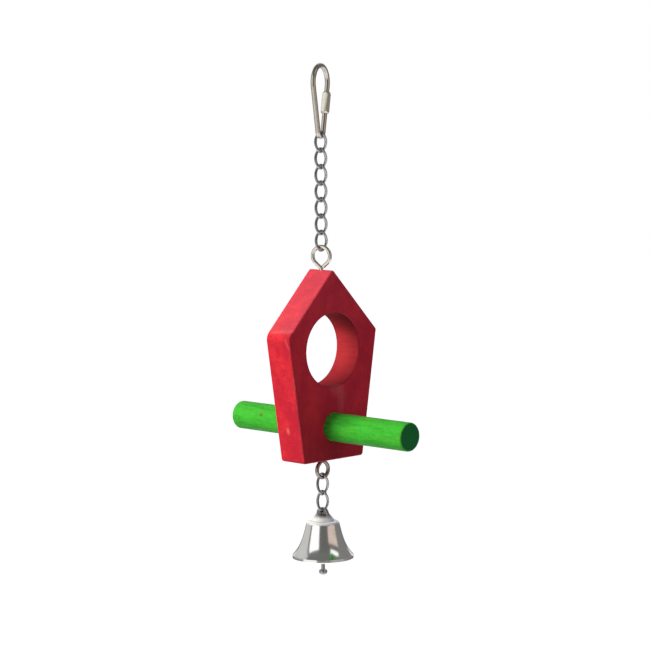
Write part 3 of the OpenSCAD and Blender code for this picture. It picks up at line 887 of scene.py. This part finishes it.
class PLAYGYM_OT_board(Operator):
    """Saws, drills and sands the house-shaped board"""

    bl_idname = "playgym.board"
    bl_label = "House board"

    def execute(self, context):
        settings = context.scene.play_gym.board
        perch_low, perch_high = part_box("perch_dowel")
        perch_z, perch_r = (perch_low.z + perch_high.z) / 2, (perch_high.z - perch_low.z) / 2
        board = self.saw(settings)
        self.drill(board, HOLE_Z, HOLE_R, settings.mouth)
        self.drill(board, perch_z, perch_r, settings.bore_mouth)
        stand_for(smooth(board), "house", red_stain(settings), "house_board")
        return {"FINISHED"}

    def saw(self, settings):
        """A plane drawn to the house's outline, raised to the board's thickness, corners rounded."""
        low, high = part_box("house_board")
        eaves_z = high.z - settings.eaves_drop
        width, height = high.x - low.x, eaves_z - low.z
        corner, base = settings.corner, settings.base_width / 2
        roof_half = atan2(width / 2, settings.eaves_drop)
        ridge_rise = corner * (1 / sin(roof_half) - 1)
        deselect_all()
        bpy.ops.mesh.primitive_plane_add(
            size=1.0, location=(0, low.y, (eaves_z + low.z) / 2), rotation=(pi / 2, 0, 0)
        )
        bpy.context.object.scale = (width, height, 1.0)
        board = named("stained_board")
        choose(board, lambda co: near(co.z, low.z))
        bpy.ops.transform.resize(value=(settings.base_width / width, 1, 1), center_override=(0, low.y, low.z))
        choose(board, lambda co: near(co.z, eaves_z))
        bpy.ops.mesh.subdivide(number_cuts=1)
        choose(board, lambda co: near(co.z, eaves_z) and near(co.x, 0))
        bpy.ops.transform.translate(value=(0, 0, settings.eaves_drop + ridge_rise))
        bpy.ops.mesh.select_all(action="SELECT")
        bpy.ops.mesh.extrude_region_move(TRANSFORM_OT_translate={"value": (0, high.y - low.y, 0)})
        tidy_mesh(board)
        side_lean = atan2(width / 2 - base, height)
        eaves_turn, base_turn = roof_half + side_lean, pi / 2 - side_lean
        corners = (
            (high.z + ridge_rise, 0, pi - 2 * roof_half, corner),
            (eaves_z, low.x, eaves_turn, settings.worn_corner),
            (eaves_z, high.x, eaves_turn, corner),
            (low.z, -base, base_turn, corner),
            (low.z, base, base_turn, corner),
        )
        for corner_z, corner_x, turn, radius in corners:
            cut_back = radius * tan(turn / 2)
            round_over(board, lambda co: near(co.z, corner_z) and near(co.x, corner_x), cut_back, segments=8)
        for face_y in (low.y, high.y):
            round_over(board, lambda co: near(co.y, face_y), settings.arris, segments=5)
        return board

    def drill(self, board, centre_z, radius, mouth):
        """Cuts a round hole along Y, with both mouths rounded over."""
        low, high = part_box("house_board")
        half = (high.y - low.y) / 2
        proud, clear = 2 * MM, 0.004 * MM
        start = (radius, half - mouth)
        end = [start, *quarter_round(start, (radius + mouth, half + clear), steps=6, upright=True)]
        end += [(radius + mouth, half + proud), (0.0, half + proud)]
        cutter = turned("drill", [(r, -h) for r, h in reversed(end)] + end, steps=128)
        set_down(cutter, (0, (low.y + high.y) / 2, centre_z), Quaternion(X_AXIS, pi / 2))
        cut_with(board, cutter)


class PLAYGYM_OT_perch(Operator):
    """Turns the perch dowel and rounds its ends"""

    bl_idname = "playgym.perch"
    bl_label = "Perch dowel"

    def execute(self, context):
        settings = context.scene.play_gym.perch
        low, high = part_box("perch_dowel")
        deselect_all()
        bpy.ops.mesh.primitive_cylinder_add(
            vertices=96, radius=(high.z - low.z) / 2, depth=high.y - low.y, location=(low + high) / 2,
            rotation=(pi / 2, 0, 0),
        )
        perch = named("stained_perch")
        for end_y in (low.y, high.y):
            round_over(perch, lambda co: near(co.y, end_y), settings.end_round, segments=6)
        stand_for(smooth(perch), "house", green_stain(settings), "perch_dowel")
        return {"FINISHED"}


class PLAYGYM_OT_bell(Operator):
    """Spins the bell, its crown and the clapper's head, and paints the clapper"""

    bl_idname = "playgym.bell"
    bl_label = "Bell"

    def execute(self, context):
        settings = context.scene.play_gym.bell
        iron = metal("clapper_steel", context.scene.play_gym.chain.steel, rough=0.2)
        shell, crown, head = self.shell(settings), self.crown(settings), self.head()
        stand_for(smooth(shell), "bell", spun_nickel(settings), "bell_shell")
        stand_for(smooth(crown), "bell", satin_nickel(settings), "bell_crown")
        stand_for(smooth(head), "clapper", iron, "clapper_head")
        repaint(iron, "clapper_staple", "clapper_rod")
        return {"FINISHED"}

    def wall(self, settings, inset):
        """One side of the bell's wall from its top to its rim, drawn in by inset."""
        low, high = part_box("bell_shell")
        steps = 40
        top, waist, rim = settings.top_width / 2, settings.waist_width / 2, high.x
        shoulder_z = high.z - settings.shoulder
        waist_height = shoulder_z - settings.lip - low.z
        start = (top, high.z - inset)
        points = [start, *quarter_round(start, (waist - inset, shoulder_z), steps=12)]
        for step in range(1, steps + 1):
            share = step / steps
            spread = settings.slope * share + (1 - settings.slope) * share**settings.flare
            points.append((waist + (rim - waist) * spread - inset, shoulder_z - waist_height * share))
        return points

    def shell(self, settings):
        """The bell's wall with a rounded rim and a hole for the stem."""
        low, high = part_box("bell_shell")
        bore, edge, rim_steps = settings.stem / 2, settings.wall / 2, 8
        rim = [
            (high.x - edge + edge * cos(turn), low.z + edge - edge * sin(turn))
            for turn in (pi * step / rim_steps for step in range(rim_steps + 1))
        ]
        profile = [(bore, high.z), *self.wall(settings, 0.0), *rim]
        profile += reversed(self.wall(settings, settings.wall))
        profile += [(bore, high.z - settings.wall), (bore, high.z)]
        return turned("spun_bell", profile, steps=128)

    def bar(self, radius, width, height, sides):
        """A round bar along X at a height."""
        deselect_all()
        bpy.ops.mesh.primitive_cylinder_add(
            vertices=sides, radius=radius, depth=width, location=(0, 0, height), rotation=(0, pi / 2, 0)
        )
        return named("bar")

    def crown(self, settings):
        """A turned cone on a flange, and a round-topped lug with its hole."""
        low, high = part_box("bell_crown")
        hole_r, lug_r, thickness = settings.lug_hole / 2, settings.lug_width / 2, settings.lug_thickness
        hole_z = high.z - settings.lug_strap - hole_r
        neck_z = hole_z - hole_r
        arch_z = high.z - lug_r
        flange_z = low.z + settings.flange
        edge, lift = 0.15 * MM, 0.05 * MM
        edge_start = (high.x, flange_z - edge)
        profile = [(0.0, low.z), (high.x, low.z), edge_start]
        profile += quarter_round(edge_start, (high.x - edge, flange_z), steps=3, upright=True)
        profile += [(settings.neck_width / 2, neck_z), (0.0, neck_z)]
        crown = turned("spun_crown", profile, steps=96)
        lug = self.bar(lug_r, thickness, arch_z, sides=64)
        choose(lug, lambda co: co.z < arch_z and not near(co.z, arch_z))
        stretch = (arch_z - low.z - lift) / lug_r
        bpy.ops.transform.resize(value=(1, 1, stretch), center_override=(0, 0, arch_z))
        cut_with(crown, lug, "UNION")
        cut_with(crown, self.bar(hole_r, 3 * thickness, hole_z, sides=48))
        apply_modifier(crown, "REMESH", mode="VOXEL", voxel_size=0.09 * MM)
        apply_modifier(crown, "SMOOTH", factor=0.5, iterations=10)
        return crown

    def head(self):
        """The button on the clapper's rod."""
        low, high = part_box("clapper_head")
        radius, round_r = (high.x - low.x) / 2, 0.42 * (high.z - low.z)
        flat_r, foot_z, top_z = radius - round_r, low.z + round_r, high.z - round_r
        profile = [(0.0, low.z), (flat_r, low.z), *quarter_round((flat_r, low.z), (radius, foot_z), steps=8)]
        profile += [(radius, top_z), *quarter_round((radius, top_z), (flat_r, high.z), steps=8, upright=True)]
        profile += [(0.0, high.z)]
        return turned("clapper_button", profile, steps=48)


class PLAYGYM_OT_stage(Operator):
    """Sets up the camera, the lights, the pale floor and the screens that the metal reflects"""

    bl_idname = "playgym.stage"
    bl_label = "Studio"

    def execute(self, context):
        studio = context.scene.play_gym.studio
        context.scene.view_settings.view_transform = "Standard"
        aim = Vector((0, 0, -studio.aim_drop))
        turn, rise = studio.azimuth, studio.elevation
        back = Vector((sin(turn) * cos(rise), -cos(turn) * cos(rise), sin(rise)))
        right = Vector((cos(turn), sin(turn), 0))
        self.camera(context, studio, aim, back, right)
        # Name, way from the aim, side, power and colour of each lamp
        lamps = (
            ("key", -right * 0.85 + back * 0.25 + Z_AXIS * 0.36, 0.6, studio.key_power, (1.0, 0.98, 0.88)),
            ("front", -Y_AXIS * 0.9 + Z_AXIS * 0.42, 0.4, studio.front_power, (0.8, 0.82, 1.0)),
        )
        for lamp in lamps:
            self.softbox(aim, *lamp)
        self.world(context, studio)
        self.floor()
        self.screens(aim, studio.azimuth)
        return {"FINISHED"}

    def camera(self, context, studio, aim, back, right):
        """A long lens at the height of the board."""
        focal_pixels, image_width, sensor = 2386.0, 650.0, 36.0
        lens = bpy.data.cameras.new("camera")
        lens.sensor_width = sensor
        lens.lens = focal_pixels / image_width * sensor
        lens.clip_end = 50.0
        camera = bpy.data.objects.new("camera", lens)
        camera.location = aim + back * studio.distance + right * studio.side_shift
        look = (-back).to_track_quat("-Z", "Y") @ Quaternion(Z_AXIS, studio.roll)
        camera.rotation_euler = look.to_euler()
        context.collection.objects.link(camera)
        context.scene.camera = camera

    def softbox(self, aim, name, way, size, watts, tone):
        """A square lamp that looks at the aim. Metal reflects the screens instead of it."""
        distance = 0.9
        lamp = bpy.data.lights.new(name, "AREA")
        lamp.energy, lamp.size, lamp.color = watts, size, tone
        box = bpy.data.objects.new(name, lamp)
        box.location = aim + way.normalized() * distance
        box.rotation_euler = way.to_track_quat("Z", "Y").to_euler()
        box.visible_glossy = False
        bpy.context.collection.objects.link(box)

    def world(self, context, studio):
        """White as a background, and an even dim light on everything."""
        context.scene.world = bpy.data.worlds.new("studio")
        sky = Tree(context.scene.world)
        tone = sky.mix(sky.background_rays(), studio.fill, (1, 1, 1))
        sky.feed(sky.nodes["Background"], {"Color": tone, "Strength": 1.0})

    def floor(self):
        """A pale floor far below the toy, which glows as a background but keeps the toy's shadow."""
        drop = 0.45
        deselect_all()
        bpy.ops.mesh.primitive_plane_add(size=12.0, location=(0, 0, CAD_BOX[0].z - drop))
        floor = named("floor")
        pale = Finish("pale_floor", Base_Color=(0.6, 0.6, 0.6, 1), Roughness=0.9)
        glow = {"Color": (0.86, 0.86, 0.86, 1), "Strength": pale.background_rays()}
        shaders = {0: Value(pale, pale.surface.outputs[0]), 1: pale.node("ShaderNodeEmission", None, glow)}
        pale.feed(pale.nodes["Material Output"], {"Surface": pale.node("ShaderNodeAddShader", None, shaders)})
        paint(floor, pale.material)

    def screens(self, aim, azimuth):
        """Curved screens and a ceiling, seen only in the metal. Each has its span in degrees and height."""
        radius, bottom, sill, eye, band, head, top = 1.5, -0.6, -0.35, 0.7, 1.15, 1.3, 1.75
        dark = (0.13, 0.13, 0.125)
        screens = (
            ("front", -23, 31, bottom, top, dark),
            ("right", 31, 85, sill, eye, (0.66, 0.53, 0.48)),
            ("right_low", 31, 85, bottom, sill, (0.32, 0.30, 0.28)),
            ("right_top", 31, 42, eye, top, dark),
            ("right_band", 42, 85, eye, band, dark),
            ("side_window", 42, 85, band, top, (1.1, 1.15, 1.1)),
            ("far_right", 85, 150, bottom, top, (0.20, 0.20, 0.20)),
            ("far_left", -155, -87, sill, top, (0.58, 0.58, 0.57)),
            ("left_edge", -87, -77, sill, head, (0.12, 0.12, 0.12)),
            ("far_left_low", -155, -81, bottom, sill, (0.25, 0.25, 0.25)),
            ("window", -77, -23, sill, head, (1.15, 1.15, 1.15)),
            ("window_top", -87, -23, head, top, (0.16, 0.16, 0.16)),
            ("left_low", -81, -23, bottom, sill, (0.95, 0.95, 0.95)),
            ("back_low", 150, 205, bottom, 0.0, (0.12, 0.12, 0.12)),
        )
        for name, start, end, low, high, tone in screens:
            screen = turned("screen_" + name, [(radius, low), (radius, high)], 24, radians(end - start))
            set_down(screen, aim, Quaternion(Z_AXIS, azimuth + radians(start - 90)))
            self.light_up(screen, tone)
        ceiling = set_down(turned("screen_top", [(0.0, top), (radius, top)], steps=48), aim)
        self.light_up(ceiling, (0.15, 0.16, 0.15))

    def light_up(self, screen, tone):
        """Makes a screen glow, and hides it from all but reflections."""
        paper = Finish(screen.name, Base_Color=(0, 0, 0, 1), Specular_IOR_Level=0.0)
        paper.coat(Emission_Color=(*tone, 1), Emission_Strength=1.0)
        paint(screen, paper.material)
        screen.visible_camera = screen.visible_diffuse = screen.visible_shadow = False


class PLAYGYM_PT_panel(Panel):
    """Lists the play gym's pieces and settings"""

    bl_label = "Play gym"
    bl_idname = "PLAYGYM_PT_panel"
    bl_space_type = "VIEW_3D"
    bl_region_type = "UI"
    bl_category = "Play gym"

    def draw(self, context):
        settings = context.scene.play_gym
        for operator in OPERATORS:
            self.layout.operator(operator.bl_idname)
        for part in PlayGymSettings.__annotations__:
            group = getattr(settings, part)
            box = self.layout.box()
            for name in type(group).__annotations__:
                box.prop(group, name)


OPERATORS = (
    PLAYGYM_OT_stage,
    PLAYGYM_OT_pear_link,
    PLAYGYM_OT_chain,
    PLAYGYM_OT_screw_eyes,
    PLAYGYM_OT_board,
    PLAYGYM_OT_perch,
    PLAYGYM_OT_bell,
)
CLASSES = (
    BoardSettings, PerchSettings, ChainSettings, WireSettings, BellSettings, StudioSettings,
    PlayGymSettings, *OPERATORS, PLAYGYM_PT_panel,
)


def register():
    for cls in CLASSES:
        bpy.utils.register_class(cls)
    bpy.types.Scene.play_gym = PointerProperty(type=PlayGymSettings)


def unregister():
    del bpy.types.Scene.play_gym
    for cls in reversed(CLASSES):
        bpy.utils.unregister_class(cls)


def main():
    register()
    bpy.ops.playgym.stage()
    bpy.ops.playgym.pear_link()
    bpy.ops.playgym.chain()
    bpy.ops.playgym.screw_eyes()
    bpy.ops.playgym.board()
    bpy.ops.playgym.perch()
    bpy.ops.playgym.bell()
    deselect_all()


if __name__ == "__main__":
    main()
